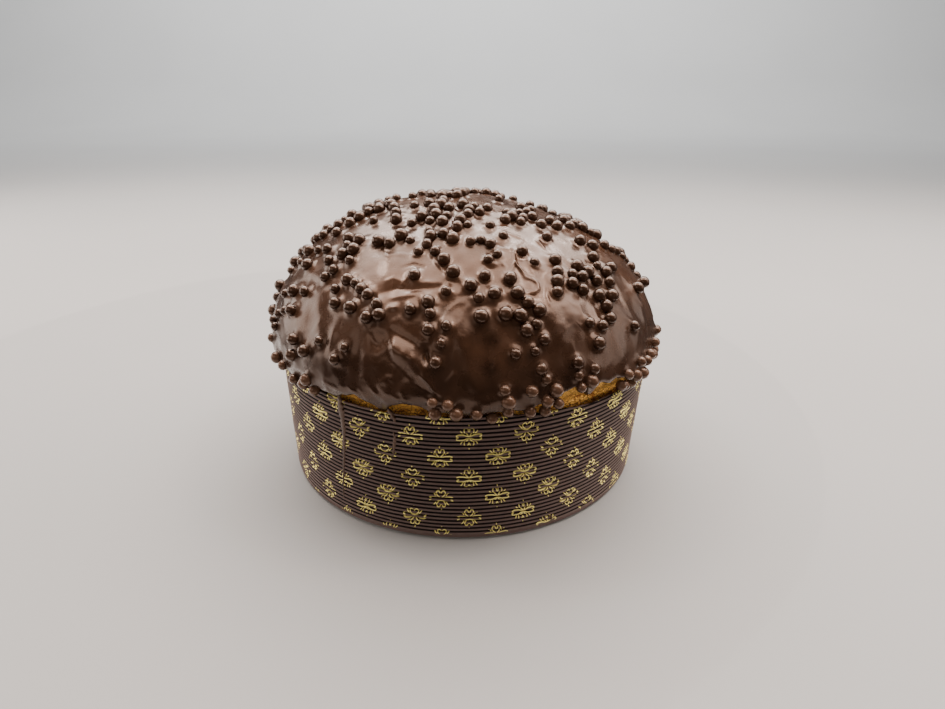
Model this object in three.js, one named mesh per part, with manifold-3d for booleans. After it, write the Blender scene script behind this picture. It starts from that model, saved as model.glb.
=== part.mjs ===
// A low, wide panettone in its paper baking mould, in millimetres, +Z up.
// Its crown is coated in poured dark chocolate and strewn with crisp chocolate pearls.
// The origin is the centre of the mould's underside, and -Y is the side that faces the viewer.
import * as THREE from "three";
import { mergeVertices } from "three/addons/utils/BufferGeometryUtils.js";
import Module from "manifold-3d";

// The paper mould, the usual low shape for a one-kilogram loaf
const MOULD_DIAMETER = 210;
const MOULD_HEIGHT = 70;
const MOULD_TAPER = 1.6; // how much smaller the radius is at the base than at the rim
const PAPER = 1.2; // thickness of the fluted wall and of the base
const BASE_FOLD = 2.4; // radius of the fold where the wall turns under
const RIM_WAVE = 0.7; // the cut rim rises and falls by this much
const RIM_DIPS = [
  { azimuth: 45, half: 22, depth: 4.2 },
  { azimuth: 10, half: 28, depth: 1.2 },
]; // where it was pressed lower, in degrees and millimetres
const OUT_OF_ROUND = 0.5; // and the wall is out of round by this much
const FLARE = { azimuth: 72, half: 28, wall: 3, crown: 2 }; // the loaf leans out here

// The crown, measured over the chocolate
const BULGE_RADIUS = MOULD_DIAMETER / 2 + 3;
const BULGE_HEIGHT = 82; // where the crown is widest, and the centre of its directions
const CROWN_HEIGHT = 68; // from there to the top
const UNDER_DEPTH = 45; // and the same for the shorter curve that turns in to the mould
const SAGS = [
  { azimuth: 57, half: 14, deeper: 8, lower: 2.4 },
  { azimuth: -52, half: 14, deeper: 5, lower: 1.6 },
]; // where that curve is deeper by millimetres, and the chocolate's edge lower by degrees
const CROWN_POWER = 1.9; // both a little more pointed than an ellipse
const FULL_SHOULDER = 0.02; // the left shoulder stands this share further out

// The chocolate
const COATING = 2.2;
const EDGE_POLAR = 94.3; // the lower edge, in degrees from the top
const EDGE_BEAD = 1.2; // the edge runs into a bead, thicker by this much
const BEAD_WIDTH = 5; // in degrees
const LIFTED = { azimuth: 38, half: 13, lift: 3 }; // where the crust is left bare
const WAVE_COUNT = 7;
const WAVE_HEIGHT = 0.32;

// The pearls
const PEARL_COUNT = 530;
const PEARLS_MODELLED = 185; // the largest of them
const PEARL_RADIUS = { least: 2.4, most: 3.6 };
const PEARL_PROUD = 0.5; // its centre stands this share of its radius above the coating
const PEARL_JITTER = 0.6; // degrees
const PEARL_OVERHANG = 3; // degrees below the coating's edge that a pearl can still cling to
const PEARL_TOUCH = 0.94; // two pearls are this share of their radii apart, or further
const PEARL_NUDGES = 6;
const RIM_CLEARANCE = 0.5;

const GAP = 0.3; // between two pieces that touch
const AROUND = 56; // facets round the loaf
const CROWN_STEP = 8; // degrees between two rings of the crown
const CROWN_RINGS = 11; // down to the last one above the chocolate's edge
const LOAF_EDGE = 96; // the crumb turns into the mould at this angle from the top
const LOAF_TUCK = 0.6; // and is drawn in there by this much
const INSIDE = 1000; // a vertex of the crown starts this far out if it is on an inner surface
const OUTSIDE = 2000; // and this far if it is on an outer one, until it is placed
const PEARL_SEED = 20;
const WAVE_SEED = 7;

const degrees = THREE.MathUtils.degToRad;
const rimRadius = MOULD_DIAMETER / 2;
const baseRadius = rimRadius - MOULD_TAPER;
const crownCentre = new THREE.Vector3(0, 0, BULGE_HEIGHT);

// Pearls that lie in strings on the side towards the viewer: the azimuth (0 at the viewer, positive
// to the right) and the angle from the top of the first and of the last, and their number.
const STRINGS = [
  [-18, 40, -16, 46, 3], [-12, 50, -3, 58, 3], [-31, 45, -25, 46, 2],
  [-33, 37, -31, 32, 2], [-23, 34, -13, 34, 2], [-5, 44, -2, 33, 3],
  [-46, 37, -56, 33, 2], [-77, 40, -72, 47, 3], [-38, 50, -35, 50, 2],
  [-55, 52, -50, 57, 3], [-46, 55, -44, 59, 2], [-50, 66, -48, 63, 2],
  [-70, 61, -84, 64, 3], [-66, 65, -84, 69, 3], [-39, 64, -25, 69, 5],
  [-42, 68, -38, 71, 2], [-32, 72, -26, 73, 2], [-10, 67, -9, 74, 3],
  [-4, 74, -5, 77, 2], [-66, 75, -55, 72, 3], [-63, 80, -56, 78, 3],
  [-68, 84, -64, 84, 2], [-49, 87, -44, 85, 2], [-33, 84, -30, 81, 2],
  [-67, 89, -62, 92, 2], [-57, 93, -52, 96, 2], [-46, 95, -42, 96, 2],
  [-7, 91, -4, 92, 2], [-7, 95, -2, 95, 2], [3, 95, 7, 97, 2],
  [10, 95, 10, 89, 3], [20, 92, 23, 94, 2], [18, 81, 21, 90, 4],
  [19, 68, 21, 71, 2], [16, 72, 16, 75, 2], [5, 71, 4, 66, 2],
  [16, 65, 16, 61, 2], [3, 62, 7, 59, 2], [10, 54, 14, 52, 2],
  [4, 46, 10, 46, 3], [20, 44, 17, 37, 2], [25, 52, 27, 56, 2],
  [41, 37, 47, 34, 2], [56, 35, 52, 41, 2], [60, 44, 63, 41, 2],
  [29, 67, 33, 62, 3], [39, 63, 48, 65, 4], [37, 66, 39, 68, 2],
  [56, 60, 55, 64, 3], [44, 77, 45, 71, 3], [36, 76, 39, 78, 2],
  [28, 84, 29, 91, 3], [44, 95, 47, 96, 2], [45, 92, 50, 94, 2],
  [51, 96, 56, 96, 2], [52, 91, 58, 92, 2], [62, 92, 66, 94, 2],
  [68, 91, 70, 94, 2], [74, 90, 80, 92, 3], [80, 45, 88, 58, 5],
  [76, 60, 85, 68, 4], [-84, 52, -88, 60, 4],
];

// And those that lie alone.
const SINGLES = [
  [-18, 51], [-12, 42], [-15, 22], [-45, 20], [-58, 24], [-58, 42], [-48, 51],
  [-72, 53], [-62, 58], [-54, 61], [-78, 71], [-84, 57], [-16, 60], [-5, 64],
  [-15, 70], [-7, 82], [-49, 83], [-39, 81], [-24, 72], [-43, 92], [16, 89],
  [16, 96], [21, 97], [31, 90], [31, 96], [13, 81], [21, 78], [12, 71],
  [19, 74], [9, 65], [3, 37], [5, 28], [28, 22], [44, 47], [60, 53],
  [60, 32], [72, 47], [64, 57], [37, 57], [45, 61], [60, 65], [54, 69],
  [50, 72], [54, 82], [36, 81], [33, 87], [68, 75], [-88, 80], [86, 78],
];

// Draws from 0 to 1, the same on every run.
function seeded(seed) {
  let state = seed;
  return () => {
    state = (state * 48271) % 2147483647;
    return state / 2147483647;
  };
}

function direction(polar, azimuth) {
  const across = Math.sin(polar);
  return new THREE.Vector3(
    across * Math.sin(azimuth),
    -across * Math.cos(azimuth),
    Math.cos(polar),
  );
}

// From 1 at the middle of a place on the circumference down to 0 away from it.
function nearness(azimuth, place) {
  const off = THREE.MathUtils.radToDeg(azimuth) - place.azimuth;
  return Math.exp(-((off / place.half) ** 2));
}

function totalNear(azimuth, places, amount) {
  return places.reduce(
    (sum, place) => sum + place[amount] * nearness(azimuth, place),
    0,
  );
}

// The crown's radius along a direction: smooth form, fuller left shoulder, no swells yet.
function smoothRadius(polar, azimuth) {
  const across = Math.sin(polar) / BULGE_RADIUS;
  const up = Math.cos(polar);
  const under = UNDER_DEPTH + totalNear(azimuth, SAGS, "deeper");
  const upright = Math.abs(up) / (up > 0 ? CROWN_HEIGHT : under);
  const sum = across ** CROWN_POWER + upright ** CROWN_POWER;
  const shoulder =
    up > 0 ? -FULL_SHOULDER * Math.sin(2 * polar) * Math.sin(azimuth) : 0;
  const lean = FLARE.crown * nearness(azimuth, FLARE) * Math.sin(polar) ** 6;
  return sum ** (-1 / CROWN_POWER) * (1 + shoulder) + lean;
}

// The slow swells of the baked crown, which the poured coating follows.
function makeWaves() {
  const draw = seeded(WAVE_SEED);
  return Array.from({ length: WAVE_COUNT }, () => ({
    along: direction(Math.acos(2 * draw() - 1), 2 * Math.PI * draw()),
    perRadian: 7 + 9 * draw(),
    phase: 2 * Math.PI * draw(),
  }));
}
const waves = makeWaves();

function swell(polar, azimuth) {
  const way = direction(polar, azimuth);
  return waves.reduce(
    (sum, wave) =>
      sum +
      WAVE_HEIGHT * Math.sin(wave.perRadian * way.dot(wave.along) + wave.phase),
    0,
  );
}

// The angle from the top at which the coating ends: ragged, and lifted where the crust shows.
function edgePolar(azimuth) {
  const lift = LIFTED.lift * nearness(azimuth, LIFTED);
  const sag = totalNear(azimuth, SAGS, "lower");
  const ragged =
    0.7 * Math.sin(5 * azimuth + 1.1) +
    0.5 * Math.sin(11 * azimuth + 0.4) +
    0.4 * Math.sin(17 * azimuth + 2.3);
  return degrees(EDGE_POLAR - lift + sag + ragged);
}

function beadThickness(polar, azimuth) {
  const above = (edgePolar(azimuth) - polar) / degrees(BEAD_WIDTH);
  return EDGE_BEAD * Math.exp(-above * above);
}

// A point `depth` mm under the outside of the chocolate.
function crownPoint(polar, azimuth, depth, bead = 0) {
  const radius =
    smoothRadius(polar, azimuth) + swell(polar, azimuth) + bead - depth;
  return direction(polar, azimuth).multiplyScalar(radius).add(crownCentre);
}

function coatingPoint(polar, azimuth) {
  return crownPoint(polar, azimuth, 0, beadThickness(polar, azimuth));
}

// How far the wall stands out of round, at a share of its height.
function wallWave(azimuth, share) {
  const wave =
    0.6 * Math.sin(2 * azimuth + 0.8) + 0.4 * Math.sin(5 * azimuth + 2.1);
  return (
    OUT_OF_ROUND * wave * share +
    FLARE.wall * nearness(azimuth, FLARE) * share ** 1.5
  );
}

// How far the rim stands above its usual height.
function rimWave(azimuth) {
  const wave =
    0.6 * Math.sin(3 * azimuth + 0.5) + 0.4 * Math.sin(8 * azimuth + 1.7);
  return RIM_WAVE * wave - totalNear(azimuth, RIM_DIPS, "depth");
}

// The mould's outer radius at a height.
function mouldRadius(z) {
  return baseRadius + (MOULD_TAPER * z) / MOULD_HEIGHT;
}

// Spins a profile of [radius, height] points about +Z, then moves each vertex by `place`.
function spun(profile, place) {
  const points = profile.map(([r, z]) => new THREE.Vector2(r, z));
  const geometry = new THREE.LatheGeometry(points, AROUND);
  geometry.rotateX(Math.PI / 2);
  const at = geometry.attributes.position;
  const vertex = new THREE.Vector3();
  for (let i = 0; i < at.count; i++) {
    place(vertex.fromBufferAttribute(at, i));
    at.setXYZ(i, vertex.x, vertex.y, vertex.z);
  }
  geometry.deleteAttribute("normal");
  geometry.deleteAttribute("uv");
  return mergeVertices(geometry, 1e-4);
}

// Turns every face of a geometry to look the other way.
function reversed(geometry) {
  const corners = geometry.index.array;
  for (let i = 0; i < corners.length; i += 3)
    [corners[i], corners[i + 1]] = [corners[i + 1], corners[i]];
  return geometry;
}

const azimuthOf = (v) => Math.atan2(v.x, -v.y);

// Moves a vertex of the mould's wall, or of the crumb inside it, out of round.
function shapeWall(v, risesWithRim) {
  const radius = Math.hypot(v.x, v.y);
  if (radius < 1) return;
  const azimuth = azimuthOf(v);
  const share = THREE.MathUtils.clamp(v.z / MOULD_HEIGHT, 0, 1);
  const scale = 1 + wallWave(azimuth, share) / rimRadius;
  v.x *= scale;
  v.y *= scale;
  if (risesWithRim && share > 0.5) v.z += rimWave(azimuth) * (2 * share - 1);
}

function paperMould() {
  const outer = (z) => mouldRadius(z);
  const inner = (z) => mouldRadius(z) - PAPER;
  const profile = [
    [0, 0],
    [outer(0) - BASE_FOLD, 0],
    [outer(0) - BASE_FOLD * 0.3, BASE_FOLD * 0.3],
    [outer(0), BASE_FOLD],
    [outer(MOULD_HEIGHT / 2), MOULD_HEIGHT / 2],
    [outer(MOULD_HEIGHT), MOULD_HEIGHT],
    [inner(MOULD_HEIGHT), MOULD_HEIGHT],
    [inner(MOULD_HEIGHT / 2), MOULD_HEIGHT / 2],
    [inner(BASE_FOLD), BASE_FOLD],
    [inner(0) - BASE_FOLD + PAPER, PAPER],
    [0, PAPER],
  ];
  return spun(profile, (v) => shapeWall(v, true));
}

// A ring of the crown at an angle from the top, before it is placed.
function ring(size, polar) {
  return [size * Math.sin(polar), size * Math.cos(polar)];
}

function crownRings(size) {
  return Array.from({ length: CROWN_RINGS + 1 }, (_, count) =>
    ring(size, degrees(CROWN_STEP * count)),
  );
}

function polarOf(v) {
  return Math.acos(THREE.MathUtils.clamp(v.z / v.length(), -1, 1));
}

// The baked loaf: it fills the mould, draws in from the paper near the rim, then bulges
// over it and rises to the crown under the coating. It is spun from the top down, as the
// inside of the coating is, so that their facets match.
function loaf() {
  const side = (z) => [mouldRadius(z) - PAPER - GAP, z];
  const floor = PAPER + GAP;
  const inMould = [
    side(58),
    side(30),
    side(BASE_FOLD + 1),
    [side(0)[0] - BASE_FOLD, floor],
    [0, floor],
  ];
  const edge = degrees(LOAF_EDGE);
  const crown = [...crownRings(INSIDE), ring(INSIDE, edge)];
  const place = (v) => {
    if (v.length() < INSIDE / 2) {
      shapeWall(v, false);
      return;
    }
    const polar = polarOf(v);
    const underEdge = polar > edge - 0.01 ? LOAF_TUCK : 0;
    v.copy(crownPoint(polar, azimuthOf(v), COATING + GAP + underEdge));
  };
  return reversed(spun([...crown, ...inMould], place));
}

// The coating alone: a shell from the top down to its ragged, beaded edge. Its last two rings
// are placed by the edge's own angle: one above the tip, and the tip.
function coating() {
  const lip = degrees(100);
  const tip = degrees(110);
  const inside = [...crownRings(INSIDE), ring(INSIDE, tip)];
  const outside = [
    ...crownRings(OUTSIDE),
    ring(OUTSIDE, lip),
    ring(OUTSIDE, tip),
  ];
  const place = (v) => {
    const azimuth = azimuthOf(v);
    const edge = edgePolar(azimuth);
    const lastRing = degrees(CROWN_STEP * CROWN_RINGS);
    let polar = polarOf(v);
    if (polar > (lip + tip) / 2) polar = edge;
    else if (polar > (lastRing + lip) / 2) polar = (edge + lastRing) / 2;
    v.copy(
      v.length() > (INSIDE + OUTSIDE) / 2
        ? coatingPoint(polar, azimuth)
        : crownPoint(polar, azimuth, COATING),
    );
  };
  return spun([...inside, ...outside.reverse()], place);
}

// True where a pearl's ball stays clear of the paper wall.
function clearOfPaper(centre, radius) {
  const azimuth = azimuthOf(centre);
  const rim = rimRadius + wallWave(azimuth, 1);
  const out = Math.hypot(centre.x, centre.y) - rim;
  const up = centre.z - (MOULD_HEIGHT + rimWave(azimuth));
  return (
    Math.hypot(Math.max(out, 0), Math.max(up, 0)) > radius + RIM_CLEARANCE
  );
}

// The place that a pearl rolls to: one that lands on another is nudged off it, a few times.
function settle(pearls, polar, azimuth, radius) {
  for (let nudge = 0; nudge < PEARL_NUDGES; nudge++) {
    if (polar > edgePolar(azimuth) + degrees(PEARL_OVERHANG)) return null;
    const centre = coatingPoint(polar, azimuth).addScaledVector(
      direction(polar, azimuth),
      radius * PEARL_PROUD,
    );
    const gap = (other) =>
      other.centre.distanceTo(centre) - PEARL_TOUCH * (other.radius + radius);
    const crowding = pearls.reduce(
      (worst, other) => (worst && gap(worst) <= gap(other) ? worst : other),
      null,
    );
    if (!crowding || gap(crowding) >= 0) return centre;
    const away = centre.clone().sub(crowding.centre);
    away.setLength(0.1 - gap(crowding));
    centre.add(away).sub(crownCentre);
    polar = polarOf(centre);
    azimuth = azimuthOf(centre);
  }
  return null;
}

// Drops the pearls: first those above, then handfuls thrown over the far side and the top,
// evenly for each patch of the crown.
function dropPearls() {
  const draw = seeded(PEARL_SEED);
  const pearls = [];
  const drop = (polar, azimuth) => {
    const radius =
      PEARL_RADIUS.least + (PEARL_RADIUS.most - PEARL_RADIUS.least) * draw();
    const centre = settle(pearls, polar, azimuth, radius);
    if (centre) pearls.push({ centre, radius });
  };
  const jitter = () => degrees(PEARL_JITTER * (2 * draw() - 1));
  for (const [azimuth, polar, lastAzimuth, lastPolar, count] of STRINGS)
    for (let n = 0; n < count; n++) {
      const share = n / (count - 1);
      const at = degrees(azimuth + (lastAzimuth - azimuth) * share) + jitter();
      const down = degrees(polar + (lastPolar - polar) * share) + jitter();
      drop(down, at);
    }
  for (const [azimuth, polar] of SINGLES) {
    const down = degrees(polar) + jitter();
    drop(down, degrees(azimuth) + jitter());
  }
  while (pearls.length < PEARL_COUNT) {
    let polar = Math.acos(1 - 1.08 * draw());
    let azimuth = Math.PI * (2 * draw() - 1);
    let heading = 2 * Math.PI * draw();
    const count = 1 + Math.floor(5 * draw() ** 2);
    const evenly = (smoothRadius(polar, azimuth) / BULGE_RADIUS) ** 2;
    const inView = Math.abs(azimuth) < degrees(92) && polar > degrees(36);
    if (inView || draw() > evenly) continue;
    for (let n = 0; n < count; n++) {
      drop(polar, azimuth);
      heading += 1.8 * (draw() - 0.5);
      const step = (2.2 * PEARL_RADIUS.most) / BULGE_RADIUS;
      azimuth += (step * Math.sin(heading)) / Math.max(Math.sin(polar), 0.1);
      polar += step * Math.cos(heading);
    }
  }
  return pearls;
}

const wasm = await Module();
wasm.setup();

function toSolid(geometry) {
  return new wasm.Manifold(
    new wasm.Mesh({
      numProp: 3,
      vertProperties: new Float32Array(geometry.attributes.position.array),
      triVerts: new Uint32Array(geometry.index.array),
    }),
  );
}

function toGeometry(solid) {
  const mesh = solid.getMesh();
  const geometry = new THREE.BufferGeometry();
  geometry.setAttribute(
    "position",
    new THREE.BufferAttribute(mesh.vertProperties, 3),
  );
  geometry.setIndex(new THREE.BufferAttribute(mesh.triVerts, 1));
  geometry.computeVertexNormals();
  return geometry;
}

// The largest pearls, each a small faceted ball with one corner straight out.
function pearlSolids() {
  const largest = dropPearls()
    .filter(({ centre, radius }) => clearOfPaper(centre, radius))
    .sort((a, b) => b.radius - a.radius)
    .slice(0, PEARLS_MODELLED);
  const draw = seeded(PEARL_SEED);
  const corner = new THREE.Vector3().fromBufferAttribute(
    new THREE.IcosahedronGeometry(1).attributes.position,
    0,
  );
  return largest.map(({ centre, radius }) => {
    const out = centre.clone().sub(crownCentre).normalize();
    const ball = new THREE.IcosahedronGeometry(radius * 1.08);
    ball.applyQuaternion(
      new THREE.Quaternion()
        .setFromAxisAngle(out, 2 * Math.PI * draw())
        .multiply(new THREE.Quaternion().setFromUnitVectors(corner, out)),
    );
    ball.translate(centre.x, centre.y, centre.z);
    ball.deleteAttribute("normal");
    ball.deleteAttribute("uv");
    return toSolid(mergeVertices(ball, 1e-4));
  });
}

function coatingWithPearls() {
  const fused = wasm.Manifold.union([toSolid(coating()), ...pearlSolids()]);
  const bodies = fused.decompose();
  const whole = bodies.reduce((a, b) => (b.volume() > a.volume() ? b : a));
  return toGeometry(whole);
}

function piece(name, geometry, color, roughness) {
  const material = new THREE.MeshStandardMaterial({
    color,
    roughness,
    metalness: 0,
  });
  const mesh = new THREE.Mesh(geometry, material);
  mesh.name = name;
  return mesh;
}

const panettone = new THREE.Group();
panettone.add(
  piece("paper_mould", paperMould(), 0x3b2c2b, 0.7),
  piece("loaf", loaf(), 0xb06a1e, 0.85),
  piece("chocolate_coating", coatingWithPearls(), 0x4a2a1c, 0.3),
);

export default panettone;
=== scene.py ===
# A low panettone in its fluted paper mould, coated in poured dark chocolate and strewn with
# crisp chocolate pearls. Sizes are in millimetres and angles in degrees unless a line says
# otherwise; the pieces themselves are in metres. Azimuth is 0 at the viewer and grows to the
# right, and the polar angle is measured from the top, about the centre of the crown.
import math

import bmesh
import bpy
import numpy as np
from mathutils import Matrix, Vector, kdtree, noise


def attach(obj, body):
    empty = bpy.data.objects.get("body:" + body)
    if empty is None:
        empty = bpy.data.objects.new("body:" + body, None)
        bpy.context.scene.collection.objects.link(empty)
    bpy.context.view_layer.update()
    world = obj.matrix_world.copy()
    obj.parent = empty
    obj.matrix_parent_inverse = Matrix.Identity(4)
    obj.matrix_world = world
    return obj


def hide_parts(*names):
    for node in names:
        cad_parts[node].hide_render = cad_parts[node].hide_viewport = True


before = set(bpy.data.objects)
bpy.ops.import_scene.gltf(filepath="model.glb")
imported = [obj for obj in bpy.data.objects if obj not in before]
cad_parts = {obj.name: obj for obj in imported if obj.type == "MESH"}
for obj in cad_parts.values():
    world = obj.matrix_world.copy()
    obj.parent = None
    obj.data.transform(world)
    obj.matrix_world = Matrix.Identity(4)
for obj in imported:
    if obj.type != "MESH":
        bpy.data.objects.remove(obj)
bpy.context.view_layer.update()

MM = 0.001
DETAIL = 1.0

# The paper mould
MOULD_RADIUS = 105.0
MOULD_HEIGHT = 70.0
MOULD_TAPER = 1.6
BASE_FOLD = 2.4
PAPER = 1.2
RIM_WAVE = 0.7
RIM_DIPS = (
    dict(azimuth=45.0, half=22.0, depth=4.2),
    dict(azimuth=10.0, half=28.0, depth=1.2),
)
OUT_OF_ROUND = 0.5
FLARE = dict(azimuth=72.0, half=28.0, wall=3.0, crown=2.0)
FLUTES = 31
FLUTE_DEPTH = 1.0
RIM_EDGE = 0.4
RIM_NICKS = 0.8
DENTS = 0.35
FLUTE_WANDER = 0.22
MOTIFS_ROUND = 24

# The crown, measured over the chocolate
BULGE_RADIUS = 108.0
BULGE_HEIGHT = 82.0
CROWN_HEIGHT = 68.0
UNDER_DEPTH = 45.0
SAGS = (
    dict(azimuth=57.0, half=14.0, deeper=8.0, lower=2.4),
    dict(azimuth=-52.0, half=14.0, deeper=5.0, lower=1.6),
)
CROWN_POWER = 1.9
FULL_SHOULDER = 0.02
WAVE_COUNT = 7
WAVE_HEIGHT = 0.32
WAVE_SEED = 7

# The coating
COATING = 2.2
EDGE_POLAR = 94.3
EDGE_BEAD = 1.2
BEAD_WIDTH = 5.0
LIFTED = dict(azimuth=38.0, half=13.0, lift=3.0)

# Its relief. Of two values the second is what the steep side has more.
RUN_RELIEF = 0.12
LUMPS = (0.45, 0.4)
DIMPLES = (0.07, 0.12)
CREASES = 0.4
STEEP_FROM = 45.0
STEEP_OVER = 30.0
FOLD_BEND = 0.02
PEARL_FOOT = 1.0
FOOT_WIDTH = 1.1
FOOT_REACH = 4.0

# The pearls
PEARL_COUNT = 530
PEARL_SEED = 20
PEARL_LEAST = 2.4
PEARL_MOST = 3.6
PEARL_PROUD = 0.5
PEARL_JITTER = 0.6
PEARL_OVERHANG = 3.0
PEARL_TOUCH = 0.94
PEARL_NUDGES = 6

# Pearls that lie in strings on the side towards the viewer: the azimuth and polar angle of
# the first and of the last, and their number.
STRINGS = (
    (-18, 40, -16, 46, 3), (-12, 50, -3, 58, 3), (-31, 45, -25, 46, 2),
    (-33, 37, -31, 32, 2), (-23, 34, -13, 34, 2), (-5, 44, -2, 33, 3),
    (-46, 37, -56, 33, 2), (-77, 40, -72, 47, 3), (-38, 50, -35, 50, 2),
    (-55, 52, -50, 57, 3), (-46, 55, -44, 59, 2), (-50, 66, -48, 63, 2),
    (-70, 61, -84, 64, 3), (-66, 65, -84, 69, 3), (-39, 64, -25, 69, 5),
    (-42, 68, -38, 71, 2), (-32, 72, -26, 73, 2), (-10, 67, -9, 74, 3),
    (-4, 74, -5, 77, 2), (-66, 75, -55, 72, 3), (-63, 80, -56, 78, 3),
    (-68, 84, -64, 84, 2), (-49, 87, -44, 85, 2), (-33, 84, -30, 81, 2),
    (-67, 89, -62, 92, 2), (-57, 93, -52, 96, 2), (-46, 95, -42, 96, 2),
    (-7, 91, -4, 92, 2), (-7, 95, -2, 95, 2), (3, 95, 7, 97, 2),
    (10, 95, 10, 89, 3), (20, 92, 23, 94, 2), (18, 81, 21, 90, 4),
    (19, 68, 21, 71, 2), (16, 72, 16, 75, 2), (5, 71, 4, 66, 2),
    (16, 65, 16, 61, 2), (3, 62, 7, 59, 2), (10, 54, 14, 52, 2),
    (4, 46, 10, 46, 3), (20, 44, 17, 37, 2), (25, 52, 27, 56, 2),
    (41, 37, 47, 34, 2), (56, 35, 52, 41, 2), (60, 44, 63, 41, 2),
    (29, 67, 33, 62, 3), (39, 63, 48, 65, 4), (37, 66, 39, 68, 2),
    (56, 60, 55, 64, 3), (44, 77, 45, 71, 3), (36, 76, 39, 78, 2),
    (28, 84, 29, 91, 3), (44, 95, 47, 96, 2), (45, 92, 50, 94, 2),
    (51, 96, 56, 96, 2), (52, 91, 58, 92, 2), (62, 92, 66, 94, 2),
    (68, 91, 70, 94, 2), (74, 90, 80, 92, 3), (80, 45, 88, 58, 5),
    (76, 60, 85, 68, 4), (-84, 52, -88, 60, 4),
)

# And those that lie alone.
SINGLES = (
    (-18, 51), (-12, 42), (-15, 22), (-45, 20), (-58, 24), (-58, 42), (-48, 51),
    (-72, 53), (-62, 58), (-54, 61), (-78, 71), (-84, 57), (-16, 60), (-5, 64),
    (-15, 70), (-7, 82), (-49, 83), (-39, 81), (-24, 72), (-43, 92), (16, 89),
    (16, 96), (21, 97), (31, 90), (31, 96), (13, 81), (21, 78), (12, 71),
    (19, 74), (9, 65), (3, 37), (5, 28), (28, 22), (44, 47), (60, 53),
    (60, 32), (72, 47), (64, 57), (37, 57), (45, 61), (60, 65), (54, 69),
    (50, 72), (54, 82), (36, 81), (33, 87), (68, 75), (-88, 80), (86, 78),
)

# Folds that set in the chocolate as it ran: azimuth, polar angle, heading, length, width
# and height. A negative height is a hollow.
FOLDS = (
    (-35.5, 83.0, -12, 24, 2.0, 0.5),
    (-15.0, 61.0, 95, 18, 2.0, 0.4),
    (-26.0, 70.5, 55, 12, 1.6, 0.6),
    (-10.0, 70.0, 0, 14, 4.0, -0.6),
    (27.0, 43.0, -50, 10, 1.0, 0.5),
    (25.5, 37.3, 90, 7, 0.8, 0.5),
    (10.0, 56.0, 70, 12, 1.4, 0.5),
    (-2.0, 60.0, 100, 12, 1.4, 0.4),
    (40.0, 74.0, 15, 20, 2.4, 0.4),
    (56.0, 78.0, 5, 26, 2.0, 0.5),
    (66.0, 74.0, 0, 30, 1.8, 0.5),
)

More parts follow.
